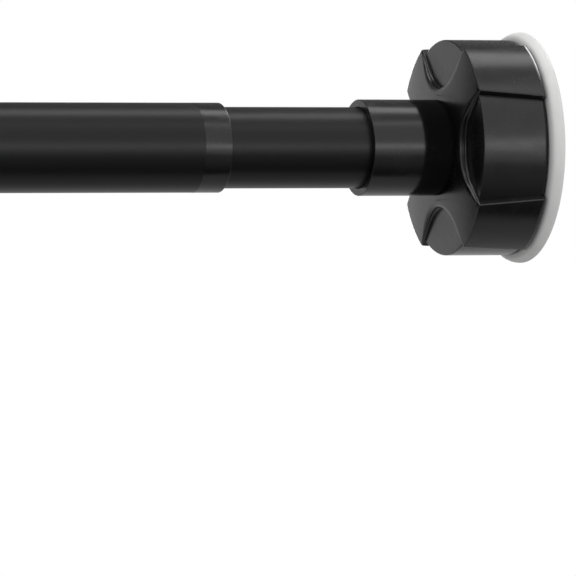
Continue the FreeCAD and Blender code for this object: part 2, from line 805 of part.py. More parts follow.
# Check every object before anything is written
doc.recompute()
for item in doc.Objects:
    if any(mark in item.State for mark in ("Invalid", "Error")):
        raise RuntimeError(f"{item.Name} failed: {item.State}")
for piece in pieces:
    shape = piece.Shape
    if shape.isNull() or not shape.isValid() or len(shape.Solids) != 1:
        raise RuntimeError(f"{piece.Label} is not one valid solid")

os.makedirs("parts", exist_ok=True)
for piece in pieces:
    piece.Shape.exportStep(f"parts/{piece.Label}.step")
    box = piece.Shape.BoundBox
    print(f"{piece.Label}: x {box.XMin:.2f} to {box.XMax:.2f}, volume {piece.Shape.Volume:.0f}")
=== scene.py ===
# %% [markdown]
# # A spring tension rod, dressed for its picture
#
# The rod stands between two walls: a thick tube, a thinner tube that slides in it, and a notched
# knob with a silicone pad at each end. The solids were drawn in CAD and come in as a fixed frame.
# This lesson gives them their finishes, models the soft pads, a thin lip and the spring, and
# lights them.

# %% Load the packed model
import json
import math

import bmesh
import bpy
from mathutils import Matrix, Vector


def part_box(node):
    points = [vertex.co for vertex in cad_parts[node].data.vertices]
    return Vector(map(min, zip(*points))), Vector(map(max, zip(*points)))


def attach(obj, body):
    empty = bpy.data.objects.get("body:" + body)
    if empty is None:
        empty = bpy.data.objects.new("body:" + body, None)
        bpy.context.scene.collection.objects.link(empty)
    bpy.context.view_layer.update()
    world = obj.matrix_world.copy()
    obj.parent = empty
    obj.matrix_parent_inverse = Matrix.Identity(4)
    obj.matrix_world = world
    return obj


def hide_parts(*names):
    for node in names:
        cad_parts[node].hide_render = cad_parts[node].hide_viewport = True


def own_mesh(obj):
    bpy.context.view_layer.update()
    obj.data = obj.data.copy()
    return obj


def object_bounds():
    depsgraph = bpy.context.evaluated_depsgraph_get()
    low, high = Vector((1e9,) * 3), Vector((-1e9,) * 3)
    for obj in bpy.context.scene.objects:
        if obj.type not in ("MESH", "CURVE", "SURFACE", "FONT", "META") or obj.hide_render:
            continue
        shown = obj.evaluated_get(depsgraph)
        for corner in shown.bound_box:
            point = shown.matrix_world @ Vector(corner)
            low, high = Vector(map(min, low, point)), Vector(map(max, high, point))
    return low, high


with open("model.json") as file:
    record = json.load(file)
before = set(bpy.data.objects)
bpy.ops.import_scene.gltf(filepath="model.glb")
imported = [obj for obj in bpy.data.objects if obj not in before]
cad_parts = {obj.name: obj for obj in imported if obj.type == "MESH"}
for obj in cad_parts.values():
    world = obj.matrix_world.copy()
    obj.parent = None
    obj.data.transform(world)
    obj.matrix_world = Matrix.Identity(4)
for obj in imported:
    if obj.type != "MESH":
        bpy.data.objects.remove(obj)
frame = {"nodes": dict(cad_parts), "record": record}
nodes = frame["nodes"]
cad_box = [list(corner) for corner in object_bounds()]
print("pieces from CAD:", len(nodes), "box:", cad_box)

# %% [markdown]
# ## The camera
#
# The picture is a close view of the adjusting end. Sightings of the knob, the collar and the tube
# ends fit a long lens not quite two metres away, turned twenty degrees from square on and level
# with the rod. A shifted lens could put the rod in the upper part of the frame, but a camera that
# looks one degree down does the same and keeps every other view centred.

# %% Camera
# Lens, sensor and places are in metres, the picture's side and the row of the rod's axis in pixels
MILLIMETRES = 1000
LENS = 0.4116
SENSOR = 0.036
PICTURE_SIDE = 576
AIM_X = 0.71979
DISTANCE = 1.835
YAW = math.radians(20.06)
AXIS_ROW = 147.7

focal_pixels = LENS / SENSOR * PICTURE_SIDE
dip = math.atan((PICTURE_SIDE / 2 - AXIS_ROW) / focal_pixels)
forward = Vector((math.sin(YAW) * math.cos(dip), math.cos(YAW) * math.cos(dip), -math.sin(dip)))

camera_data = bpy.data.cameras.new("picture_camera")
camera_data.lens = LENS * MILLIMETRES
camera_data.sensor_width = SENSOR * MILLIMETRES
camera = bpy.data.objects.new("picture_camera", camera_data)
camera.location = (AIM_X - DISTANCE * math.sin(YAW), -DISTANCE * math.cos(YAW), 0)
camera.rotation_euler = forward.to_track_quat("-Z", "Y").to_euler()
bpy.context.scene.collection.objects.link(camera)
bpy.context.scene.camera = camera
bpy.context.scene.view_settings.view_transform = "Standard"
print("camera at", [round(value, 3) for value in camera.location], "dip", round(math.degrees(dip), 2))

# %% [markdown]
# ## Sums on sockets
#
# A finish is a small calculation: so much grain, a little cloudiness, less gloss where it is worn.
# Each step could be a node placed by hand. Here one class holds a socket and answers to plus,
# minus, times and divide, so that the calculation reads as a line of Python and the Math nodes
# appear by themselves. Every other kind of node comes from its one method, `node`.

# %% A socket that can be used in sums
class Signal:
    def __init__(self, socket):
        self.socket = socket

    def node(self, kind, settings=None, sockets=None, output=0):
        """Add a node to the same tree: its settings first, then values or links for its sockets."""
        tree = self.socket.id_data
        added = tree.nodes.new(kind)
        for name, value in (settings or {}).items():
            if name == "stops":
                added.color_ramp.interpolation = "EASE"
                while len(added.color_ramp.elements) < len(value):
                    added.color_ramp.elements.new(0.5)
                for element, (position, colour) in zip(added.color_ramp.elements, value):
                    element.position = position
                    element.color = colour
            else:
                setattr(added, name, value)
        for name, value in (sockets or {}).items():
            if isinstance(value, Signal):
                tree.links.new(value.socket, added.inputs[name])
            else:
                added.inputs[name].default_value = value
        return Signal(added.outputs[output])

    def math(self, operation, first, second=0.0):
        return self.node("ShaderNodeMath", {"operation": operation}, {0: first, 1: second})

    def __add__(self, other):
        return self.math("ADD", self, other)

    def __sub__(self, other):
        return self.math("SUBTRACT", self, other)

    def __rsub__(self, other):
        return self.math("SUBTRACT", other, self)

    def __mul__(self, other):
        return self.math("MULTIPLY", self, other)

    def __truediv__(self, other):
        return self.math("DIVIDE", self, other)

    def __rtruediv__(self, other):
        return self.math("DIVIDE", other, self)

    __radd__ = __add__
    __rmul__ = __mul__


print("operators:", [name for name in vars(Signal) if name.startswith("__") and name != "__init__"])

# %% [markdown]
# ## What the finishes share
#
# All finishes are worked out from the place on the piece, in metres, so a grain of half a
# millimetre is the same size on every piece and needs no unwrapping. `noise` gives a value about
# one half that wanders over the surface, `smooth_step` and `ramp` turn a range of values into nought
# to one, `tint` goes from one colour to another, and `relief` turns a height into small bumps.

# %% Helpers for finishes
def start_finish(name):
    """A new material, its shader and the place on the surface as a signal."""
    material = bpy.data.materials.new(name)
    material.use_nodes = True
    tree = material.node_tree
    shader = next(node for node in tree.nodes if node.type == "BSDF_PRINCIPLED")
    place = Signal(tree.nodes.new("ShaderNodeTexCoord").outputs["Object"])
    return material, shader, place


def noise(place, size, detail=2.0, roughness=0.5):
    sockets = {"Vector": place, "Scale": 1 / size, "Detail": detail, "Roughness": roughness}
    return place.node("ShaderNodeTexNoise", None, sockets)


def stretched(place, factors):
    return place.node("ShaderNodeVectorMath", {"operation": "MULTIPLY"}, {0: place, 1: factors})


def smooth_step(signal, low, high):
    settings = {"interpolation_type": "SMOOTHSTEP"}
    sockets = {"Value": signal, "From Min": low, "From Max": high}
    return signal.node("ShaderNodeMapRange", settings, sockets)


def ramp(signal, start, end):
    sockets = {"Value": signal, "From Min": start, "From Max": end}
    return signal.node("ShaderNodeMapRange", None, sockets)


def wall_distance(place):
    """How far a point is from the nearer wall, along the rod."""
    along = place.node("ShaderNodeSeparateXYZ", None, {0: place})
    return place.math("MINIMUM", along - cad_box[0][0], cad_box[1][0] - along)


def tint(mask, low, high):
    settings = {"data_type": "RGBA"}
    return mask.node("ShaderNodeMix", settings, {0: mask, 6: (*low, 1), 7: (*high, 1)}, output=2)


def relief(height, depth, strength):
    sockets = {"Height": height, "Distance": depth, "Strength": strength}
    return height.node("ShaderNodeBump", None, sockets)


def connect(shader, **signals):
    for name, signal in signals.items():
        plug = shader.inputs[name.replace("_", " ")]
        shader.id_data.links.new(signal.socket, plug)


print("helpers ready")

# %% [markdown]
# ## Black powder coat on the tubes
#
# The tubes are steel with a black powder coat, satin and very slightly grainy. The coat is melted
# on, so its surface is a fine orange peel and its gloss wanders a little. Two noises make the
# grain: one of about a millimetre that is the peel, one finer that breaks the highlights. Two
# more, drawn out along the tube, are clouds in the gloss and fine rubbed lines.

# %% Tube coat
PEEL_SIZE = 0.0011
SPECKLE_SIZE = 0.00035
CLOUD_SIZE = 0.03
CLOUD_STRETCH = (0.35, 1, 1)
RUB_SIZE = 0.0016
RUB_STRETCH = (0.05, 1, 1)
COAT_DARK = (0.0022, 0.0022, 0.0024)
COAT_PALE = (0.0046, 0.0046, 0.0049)
COAT_ROUGHNESS = 0.27
COAT_RELIEF = 0.00002

tube_coat, shader, place = start_finish("tube_coat")
peel = noise(place, PEEL_SIZE, detail=2.0)
speckle = noise(place, SPECKLE_SIZE, detail=1.0)
cloud = noise(stretched(place, CLOUD_STRETCH), CLOUD_SIZE, detail=3.0)
lines = noise(stretched(place, RUB_STRETCH), RUB_SIZE, detail=3.0, roughness=0.65)
rubbed = smooth_step(lines, low=0.62, high=0.8)
connect(
    shader,
    Base_Color=tint(speckle * 0.5 + cloud * 0.5, COAT_DARK, COAT_PALE),
    Roughness=COAT_ROUGHNESS + cloud * 0.08 + speckle * 0.06 - rubbed * 0.04,
    Normal=relief(peel * 0.6 + speckle * 0.4, COAT_RELIEF, strength=0.35),
)
shader.inputs["IOR"].default_value = 1.36
print("tube coat:", len(tube_coat.node_tree.nodes), "nodes")

# %% [markdown]
# ## Black moulded plastic on the knobs and the ring
#
# Knobs, collar and mouth ring are moulded in black plastic, a shade glossier than the coat. A
# polished mould leaves a long, very shallow waviness and hands leave faint rubbed patches. The
# knob's face is slightly crowned, and its rims and the edges of its notches are rolled, all by a
# few tenths of a millimetre. They could be modelled, but gloss shows only how such forms tilt the
# surface. So they are heights in the finish, and the solids keep their plain edge radii.

# %% Knob plastic: crown and rolled rims
CROWN_START = 0.021
CROWN_WIDTH = 0.011
CROWN_DROP = 0.00026
REAR_RIM = 0.0045
REAR_ROLL = 0.0012
REAR_DROP = 0.00045
FRONT_RIM = 0.0243
FRONT_ROLL = 0.0005
FRONT_DROP = 0.00012

knob_plastic, shader, place = start_finish("knob_plastic")
across = stretched(place, (0, 1, 1))
from_axis = across.node("ShaderNodeVectorMath", {"operation": "LENGTH"}, {0: across}, output=1)
outer_share = from_axis.math("MAXIMUM", (from_axis - CROWN_START) / CROWN_WIDTH)
crown = outer_share * outer_share * CROWN_DROP
from_wall = wall_distance(place)
rear = ramp(from_wall, REAR_RIM + REAR_ROLL, REAR_RIM)
front = ramp(from_wall, FRONT_RIM - FRONT_ROLL, FRONT_RIM)
rims = rear * rear * REAR_DROP + front * front * FRONT_DROP
print("crown and rims:", len(knob_plastic.node_tree.nodes), "nodes")

# %% Knob plastic: rolled edges of the notches
NOTCH_CENTRE = 0.0306
NOTCH_RADIUS = 0.014
NOTCH_LEAN = math.radians(30)
NOTCH_INSET = 0.0005
NOTCH_ROLL = 0.0011
NOTCH_DROP = 0.00017

# The four notches lie along Y and Z, so folding the section brings all of them into one
folded = across.node("ShaderNodeVectorMath", {"operation": "ABSOLUTE"}, {0: across})
level = folded.node("ShaderNodeSeparateXYZ", None, {0: folded}, output=1)
upright = folded.node("ShaderNodeSeparateXYZ", None, {0: folded}, output=2)
outward = place.math("MAXIMUM", level, upright) - NOTCH_CENTRE
aside = place.math("MINIMUM", level, upright)
# A notch is a round tip with two straight flanks that leave it at a lean
off_flank = aside * math.cos(NOTCH_LEAN) - outward * math.sin(NOTCH_LEAN)
along_flank = aside * math.sin(NOTCH_LEAN) + outward * math.cos(NOTCH_LEAN)
below_flank = place.math("MINIMUM", along_flank)
from_tip = place.math("SQRT", off_flank * off_flank + below_flank * below_flank)
from_notch = from_tip - NOTCH_RADIUS
notch_edge = ramp(from_notch, NOTCH_INSET + NOTCH_ROLL, NOTCH_INSET) * front
notch_rolls = notch_edge * notch_edge * NOTCH_DROP
print("with the notches:", len(knob_plastic.node_tree.nodes), "nodes")

# %% Knob plastic: grain and gloss
WAVE_SIZE = 0.006
WAVE_HEIGHT = 0.0000046
SPARK_SIZE = 0.0006
SPARK_HEIGHT = 0.0000007
HAND_SIZE = 0.011
HAIRLINE_SIZE = 0.0009
HAIRLINE_STRETCH = (0.12, 1, 1)
PLASTIC_DARK = (0.0024, 0.0024, 0.0026)
PLASTIC_PALE = (0.0052, 0.0052, 0.0055)
PLASTIC_ROUGHNESS = 0.2

wave = noise(place, WAVE_SIZE, detail=1.0)
spark = noise(place, SPARK_SIZE, detail=1.0)
texture = wave * WAVE_HEIGHT + spark * SPARK_HEIGHT
handled = smooth_step(noise(place, HAND_SIZE, detail=3.0, roughness=0.6), low=0.42, high=0.72)
lines = noise(stretched(place, HAIRLINE_STRETCH), HAIRLINE_SIZE, detail=2.0)
hairline = smooth_step(lines, low=0.66, high=0.8)
connect(
    shader,
    Base_Color=tint(handled * 0.6 + spark * 0.4, PLASTIC_DARK, PLASTIC_PALE),
    Roughness=PLASTIC_ROUGHNESS + handled * 0.06 + spark * 0.05 + hairline * 0.06,
    Normal=relief(texture - crown - (rims + notch_rolls), depth=1.0, strength=1.0),
)
shader.inputs["IOR"].default_value = 1.5
print("knob plastic:", len(knob_plastic.node_tree.nodes), "nodes")

# %% [markdown]
# ## Grey silicone on the pads
#
# The pads are soft, pale grey silicone. It is dull, lets a little light in under its skin and
# gathers fine dust. A trace of subsurface light softens the lip, and two noises give the skin a
# matt grain and a few duller patches. Next to the knob the pad is painted darker: a painted shade
# for the shadow in the gap beside the knob.

# %% Pad silicone
SKIN_SIZE = 0.0007
DUST_SIZE = 0.009
PAINTED_SHADE_START = 0.0028
PAINTED_SHADE_END = 0.0042
PAD_CLEAN = (0.76, 0.76, 0.755)
# The darker tone serves both the dust and the painted shade next to the knob
PAD_DUST_AND_SHADE = (0.4, 0.4, 0.395)
PAD_ROUGHNESS = 0.46
PAD_RELIEF = 0.00003

pad_silicone, shader, place = start_finish("pad_silicone")
skin = noise(place, SKIN_SIZE, detail=2.0)
dust = smooth_step(noise(place, DUST_SIZE, detail=4.0, roughness=0.6), low=0.45, high=0.75)
# Painted shade: near the knob, away from the wall, the pad is painted darker to stand in for the shadow
# in the gap
painted_knob_shade = smooth_step(wall_distance(place), PAINTED_SHADE_START, PAINTED_SHADE_END)
dust_and_painted_shade = dust * 0.12 + skin * 0.05 + painted_knob_shade * 0.8
connect(
    shader,
    Base_Color=tint(dust_and_painted_shade, PAD_CLEAN, PAD_DUST_AND_SHADE),
    Roughness=PAD_ROUGHNESS + dust * 0.14 + skin * 0.08,
    Normal=relief(skin, PAD_RELIEF, strength=0.25),
)
shader.inputs["IOR"].default_value = 1.41
shader.inputs["Subsurface Weight"].default_value = 0.15
shader.inputs["Subsurface Radius"].default_value = (0.0012, 0.0011, 0.001)
shader.inputs["Subsurface Scale"].default_value = 1.0
print("pad silicone:", len(pad_silicone.node_tree.nodes), "nodes")

# %% [markdown]
# ## Natural nylon on the hidden parts
#
# Plugs, plates, bush, nut and the lock are plain moulded nylon, the milky white of the raw material.
# They hardly show, but a rod that is taken apart shows them. One plain colour could do, but real
# nylon has flow marks from the mould, so a drawn-out noise gives them.

# %% Plain nylon
FLOW_SIZE = 0.005
FLOW_STRETCH = (1, 0.4, 0.4)
GRAIN_SIZE = 0.0006
NYLON_PALE = (0.74, 0.72, 0.66)
NYLON_DARK = (0.64, 0.62, 0.56)
NYLON_ROUGHNESS = 0.38
NYLON_RELIEF = 0.00004

plain_nylon, shader, place = start_finish("plain_nylon")
flow = noise(stretched(place, FLOW_STRETCH), FLOW_SIZE, detail=3.0)
grain = noise(place, GRAIN_SIZE, detail=2.0)
connect(
    shader,
    Base_Color=tint(flow, NYLON_PALE, NYLON_DARK),
    Roughness=NYLON_ROUGHNESS + flow * 0.14 + grain * 0.06,
    Normal=relief(grain * 0.5 + flow * 0.5, NYLON_RELIEF, strength=0.25),
)
shader.inputs["Subsurface Weight"].default_value = 0.2
shader.inputs["Subsurface Radius"].default_value = (0.002, 0.0018, 0.0014)
shader.inputs["Subsurface Scale"].default_value = 1.0
print("plain nylon:", len(plain_nylon.node_tree.nodes), "nodes")

# %% [markdown]
# ## Bright zinc on the steel parts
#
# Spindle, bolt, screws, washer and spring are zinc-plated steel. Plating is bright but not a
# mirror: it has a fine spangle and lines drawn along the part. Anisotropic gloss could stand for
# the lines, but a noise drawn out along the rod shows them as lines from close by.

# %% Bright steel
DRAWN_SIZE = 0.0007
DRAWN_STRETCH = (0.04, 1, 1)
SPANGLE_SIZE = 0.0025
ZINC_DARK = (0.56, 0.57, 0.58)
ZINC_PALE = (0.7, 0.7, 0.69)
ZINC_ROUGHNESS = 0.22
ZINC_RELIEF = 0.00002

bright_steel, shader, place = start_finish("bright_steel")
drawn = noise(stretched(place, DRAWN_STRETCH), DRAWN_SIZE, detail=3.0, roughness=0.6)
spangle = noise(place, SPANGLE_SIZE, detail=2.0)
connect(
    shader,
    Base_Color=tint(spangle, ZINC_DARK, ZINC_PALE),
    Roughness=ZINC_ROUGHNESS + drawn * 0.16 + spangle * 0.08,
    Normal=relief(drawn, ZINC_RELIEF, strength=0.2),
)
shader.inputs["Metallic"].default_value = 1.0
print("bright steel:", len(bright_steel.node_tree.nodes), "nodes")

# %% [markdown]
# ## Finishes on the CAD pieces
#
# The tubes, ring, knobs and inner parts keep their CAD form, which is exact. Only the finish in
# their material slot changes. The record says which slot each node has, so it decides. On glossy
# plastic the seams between CAD faces would show as hard lines. The faces could be joined in the
# mesh, but the meshes stay as they came, so modifiers close the seams instead.

# %% Give each CAD node its finish
FINISHES = {
    "tube_coat": tube_coat,
    "knob_plastic": knob_plastic,
    "pad_silicone": pad_silicone,
    "plain_nylon": plain_nylon,
    "bright_steel": bright_steel,
}
SEAM = 0.000001
SHARP_FROM = math.radians(50)


def even_shading(solid):
    """Close the seams between CAD faces and even out the shading across them."""
    weld = solid.modifiers.new("close_seams", "WELD")
    weld.merge_threshold = SEAM
    split = solid.modifiers.new("keep_edges", "EDGE_SPLIT")
    split.split_angle = SHARP_FROM
    split.use_edge_sharp = False
    solid.modifiers.new("even_normals", "WEIGHTED_NORMAL")


slot_of = {entry["node"]: entry["material_slot"] for entry in frame["record"]["subparts"]}
for name, solid in nodes.items():
    solid.data.materials.clear()
    solid.data.materials.append(FINISHES[slot_of[name]])
    if slot_of[name] == "knob_plastic":
        even_shading(solid)
print({name: slot_of[name] for name in sorted(nodes)})

# %% [markdown]
# ## Pieces turned on a lathe
#
# A pad is a turned form: one section, spun round the rod's axis. Blender's Screw modifier would do
# it, but spinning the points directly keeps a closed skin at the middle and lets every corner of
# the section be rounded. `rounded` replaces a corner by a short arc, `spin` makes the skin.

# %% Lathe helpers
AROUND = 192


def rounded(section, steps=6):
    """Turn (along, out, radius) corners into points, with an arc at each corner that has a radius."""
    points = []
    for index, (along, out, radius) in enumerate(section):
        corner = Vector((along, out))
        if radius == 0 or index in (0, len(section) - 1):
            points.append(corner)
            continue
        before = (Vector(section[index - 1][:2]) - corner).normalized()
        after = (Vector(section[index + 1][:2]) - corner).normalized()
        half = before.angle(after) / 2
        reach = radius / math.tan(half)
        centre = corner + (before + after).normalized() * (radius / math.sin(half))
        first = corner + before * reach - centre
        turn = first.angle_signed(corner + after * reach - centre)
        for step in range(steps + 1):
            angle = -turn * step / steps
            spun = Vector((
                first.x * math.cos(angle) - first.y * math.sin(angle),
                first.x * math.sin(angle) + first.y * math.cos(angle),
            ))
            points.append(centre + spun)
    return points


def finish_mesh(name, builder, material):
    bmesh.ops.recalc_face_normals(builder, faces=builder.faces)
    mesh = bpy.data.meshes.new(name)
    builder.to_mesh(mesh)
    builder.free()
    for face in mesh.polygons:
        face.use_smooth = True
    mesh.materials.append(material)
    piece = bpy.data.objects.new(name, mesh)
    bpy.context.scene.collection.objects.link(piece)
    print(name, "has", len(mesh.polygons), "faces")
    return piece


def add_ring(builder, along, out):
    """A circle of points round the rod's axis."""
    ring = []
    for step in range(AROUND):
        angle = math.tau * step / AROUND
        ring.append(builder.verts.new((along, out * math.cos(angle), out * math.sin(angle))))
    return ring


def spin(name, points, material):
    """Spin a section whose first and last points lie on the rod's axis."""
    builder = bmesh.new()
    rings = [add_ring(builder, point.x, point.y) for point in points[1:-1]]
    start = builder.verts.new((points[0].x, 0, 0))
    end = builder.verts.new((points[-1].x, 0, 0))
    for step in range(AROUND):
        following = (step + 1) % AROUND
        builder.faces.new((start, rings[0][step], rings[0][following]))
        builder.faces.new((end, rings[-1][following], rings[-1][step]))
        for ring, beside in zip(rings, rings[1:]):
            builder.faces.new((ring[step], beside[step], beside[following], ring[following]))
    return finish_mesh(name, builder, material)


print("lathe ready,", AROUND, "steps round")

# %% [markdown]
# ## The silicone pads
#
# Each pad is a thick disc with a large round lip towards the knob and a small one towards the wall.
# Four ring grooves in the wall face grip paint and tile. The CAD solid has the same section with
# sharp grooves and could be kept. Here the groove edges are soft, as a silicone mould leaves them.

# %% Pads
pad_low, pad_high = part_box("left_pad")
PAD_RADIUS = pad_high.z
PAD_THICKNESS = pad_high.x - pad_low.x
LIP_RADIUS = 0.0032
WALL_RADIUS = 0.0008
GROOVE_SPACING = 0.0065
GROOVE_WIDTH = 0.0012
GROOVE_DEPTH = 0.0006
GROOVE_EDGE = 0.00022
GROOVES = 4


def pad_section():
    """The pad's section from the axis on the knob side, round the rim, back to the axis at the wall."""
    section = [
        (PAD_THICKNESS, 0, 0),
        (PAD_THICKNESS, PAD_RADIUS, LIP_RADIUS),
        (0, PAD_RADIUS, WALL_RADIUS),
    ]
    for count in range(GROOVES, 0, -1):
        outer = count * GROOVE_SPACING + GROOVE_WIDTH / 2
        inner = outer - GROOVE_WIDTH
        section += [(0, outer, GROOVE_EDGE), (GROOVE_DEPTH, outer, GROOVE_EDGE)]
        section += [(GROOVE_DEPTH, inner, GROOVE_EDGE), (0, inner, GROOVE_EDGE)]
    return section + [(0, 0, 0)]


def make_pad(name, node, wall_x, direction, body):
    points = [Vector((wall_x + direction * point.x, point.y)) for point in rounded(pad_section())]
    pad = spin(name, points, pad_silicone)
    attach(pad, body)
    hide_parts(node)


make_pad("left_pad_skin", "left_pad", pad_low.x, 1, "outer")
make_pad("right_pad_skin", "right_pad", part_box("right_pad")[1].x, -1, "right_foot")

# %% [markdown]
# ## The lip in the collar's mouth
#
# A thin lip just inside the mouth of the collar narrows the gap round the tube to a fifth of a
# millimetre. It could be spun like the pads, but it has a hole, so its section is a closed loop of
# four corners. Its faces are shaded flat, so that the lip ends the collar with a plain ring.

# %% Collar lip
LIP_LENGTH = 0.0008
LIP_GAP = 0.0002
COLLAR_BORE = 0.01235


def spin_loop(name, section, material):
    """Spin a closed section of (along, out) corners round the rod's axis."""
    builder = bmesh.new()
    rings = [add_ring(builder, along, out) for along, out in section]
    for ring, beside in zip(rings, rings[1:] + rings[:1]):
        for step in range(AROUND):
            following = (step + 1) % AROUND
            builder.faces.new((ring[step], beside[step], beside[following], ring[following]))
    return finish_mesh(name, builder, material)


mouth_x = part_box("right_knob")[0].x
lip_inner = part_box("inner_tube")[1].z + LIP_GAP
lip_section = [
    (mouth_x, lip_inner),
    (mouth_x, COLLAR_BORE),
    (mouth_x + LIP_LENGTH, COLLAR_BORE),
    (mouth_x + LIP_LENGTH, lip_inner),
]
collar_lip = spin_loop("collar_lip", lip_section, knob_plastic)
for face in collar_lip.data.polygons:
    face.use_smooth = False
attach(collar_lip, "right_knob")

# %% [markdown]
# ## The spring
#
# The spring inside the thinner tube is round wire, closed and ground flat at both ends. A Screw
# modifier winds a constant pitch only, so the coil is swept in code: the wire advances slowly over
# the end turns and at full pitch between them, and what stands past the end planes is flattened.

# %% Tension spring
WIRE_RADIUS = 0.0012
SPRING_TURNS = 8
STEPS_PER_TURN = 48
WIRE_STEPS = 14

spring_low, spring_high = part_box("tension_spring")
spring_start = spring_low.x
spring_length = spring_high.x - spring_low.x
coil_radius = spring_high.z - WIRE_RADIUS


def wire_advance(share):
    """How far along the wire's centre has come after a share of the turns, closed at both ends."""
    slow = 1 / SPRING_TURNS
    rise = max(0.0, min(1.0, (share - slow) / (1 - 2 * slow)))
    closed = 2 * WIRE_RADIUS
    ends = min(share, slow) / slow + max(0.0, share - 1 + slow) / slow
    return ends * closed + rise * (spring_length - 2 * closed)


def sweep_spring():
    builder = bmesh.new()
    count = SPRING_TURNS * STEPS_PER_TURN
    rings = []
    for step in range(count + 1):
        angle = math.tau * step / STEPS_PER_TURN
        along = wire_advance(step / count)
        ring = []
        for side in range(WIRE_STEPS):
            turn = math.tau * side / WIRE_STEPS
            out = coil_radius + WIRE_RADIUS * math.cos(turn)
            at = min(max(along + WIRE_RADIUS * math.sin(turn), 0), spring_length)
            ring.append(builder.verts.new(
                (spring_start + at, out * math.cos(angle), out * math.sin(angle))))
        rings.append(ring)
    for ring, beside in zip(rings, rings[1:]):
        for side in range(WIRE_STEPS):
            following = (side + 1) % WIRE_STEPS
            builder.faces.new((ring[side], beside[side], beside[following], ring[following]))
    builder.faces.new(rings[0])
    builder.faces.new(rings[-1][::-1])
    return finish_mesh("spring_coil", builder, bright_steel)


spring_coil = sweep_spring()
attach(spring_coil, "inner")
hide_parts("tension_spring")
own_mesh(spring_coil)

# %% [markdown]
# ## World and floor
#
# The picture's ground is plain white. A great white box could give it, but it would flood the pads
# with light. Here the world is white only to the lens and to mirrors, and lights the pieces as a
# grey sky, darker from below. The floor is pale paint with a faint glow that grows outwards, so
# that it takes a shadow under the rod and turns into the white of the world far out.

# %% World
AMBIENT_BELOW = (0.26, 0.26, 0.26)
AMBIENT_ABOVE = (0.66, 0.66, 0.66)
SKY_LOW = -0.9
SKY_HIGH = 0.05

world = bpy.data.worlds.new("white_studio")
world.use_nodes = True
bpy.context.scene.world = world
tree = world.node_tree
tree.nodes.clear()
world_output = tree.nodes.new("ShaderNodeOutputWorld")
light_path = tree.nodes.new("ShaderNodeLightPath")
seen = Signal(light_path.outputs["Is Camera Ray"])
glossy = Signal(light_path.outputs["Is Glossy Ray"])
through = Signal(light_path.outputs["Is Transmission Ray"])
backdrop = seen.math("MINIMUM", seen + (glossy + through), 1.0)
white = backdrop.node("ShaderNodeBackground", None, {"Color": (1, 1, 1, 1), "Strength": 1.0})
direction = Signal(tree.nodes.new("ShaderNodeTexCoord").outputs["Generated"])
height = direction.node("ShaderNodeSeparateXYZ", None, {0: direction}, output=2)
sky = tint(smooth_step(height, SKY_LOW, SKY_HIGH), AMBIENT_BELOW, AMBIENT_ABOVE)
ambient = backdrop.node("ShaderNodeBackground", None, {"Color": sky, "Strength": 1.0})
mixed = backdrop.node("ShaderNodeMixShader", None, {0: backdrop, 1: ambient, 2: white})
tree.links.new(mixed.socket, world_output.inputs["Surface"])
print("world:", len(tree.nodes), "nodes")

# %% Floor
FLOOR_LEVEL = -0.45
FLOOR_RADIUS = 3.2
FLOOR_CENTRE = Vector((0.4, 0, FLOOR_LEVEL))
FLOOR_SEGMENTS = 128
GLOW_LEAST = 0.22
GLOW_START = FLOOR_RADIUS * 0.3
GLOW_END = FLOOR_RADIUS * 0.95
MOTTLE_SIZE = 0.2
PAINT_DARK = (0.93, 0.93, 0.93)
PAINT_PALE = (0.96, 0.96, 0.96)

floor_paint, shader, place = start_finish("floor_paint")
tree = floor_paint.node_tree
output = next(node for node in tree.nodes if node.type == "OUTPUT_MATERIAL")
distance = place.node("ShaderNodeVectorMath", {"operation": "LENGTH"}, {0: place}, output=1)
fade = GLOW_LEAST + smooth_step(distance, GLOW_START, GLOW_END) * (1 - GLOW_LEAST)
mottle = noise(place, MOTTLE_SIZE, detail=3.0)
connect(shader, Base_Color=tint(mottle, PAINT_DARK, PAINT_PALE))
shader.inputs["Roughness"].default_value = 0.9
shader.inputs["Specular IOR Level"].default_value = 0.1
glow = place.node("ShaderNodeEmission", None, {"Color": (1, 1, 1, 1), "Strength": 1.0})
blended = place.node(
    "ShaderNodeMixShader", None, {0: fade, 1: Signal(shader.outputs["BSDF"]), 2: glow})
tree.links.new(blended.socket, output.inputs["Surface"])

builder = bmesh.new()
bmesh.ops.create_circle(builder, cap_ends=True, segments=FLOOR_SEGMENTS, radius=FLOOR_RADIUS)
floor = finish_mesh("studio_floor", builder, floor_paint)
floor.location = FLOOR_CENTRE
floor.visible_diffuse = False

# %% [markdown]
# ## Cards for the mirrors
#
# Black gloss shows little but what it mirrors, and a studio sets that with cards: white ones draw
# the pale lines along a tube, grey and black ones the bands between them. They could be painted
# boards, but those would also shade the pads. These glow by themselves, at one tone or through a
# row of stops, and only mirrors see them. Two small bright ones give glints on edges, and Cycles
# aims rays at them as at lamps, which keeps the glints free of speckle.

# %% Card helpers
CARD_LEFT = -1.2
CARD_RIGHT = 2.6
ALONG_X = 0
ALONG_Y = 1
SLEEVE_REACH = math.radians(95)


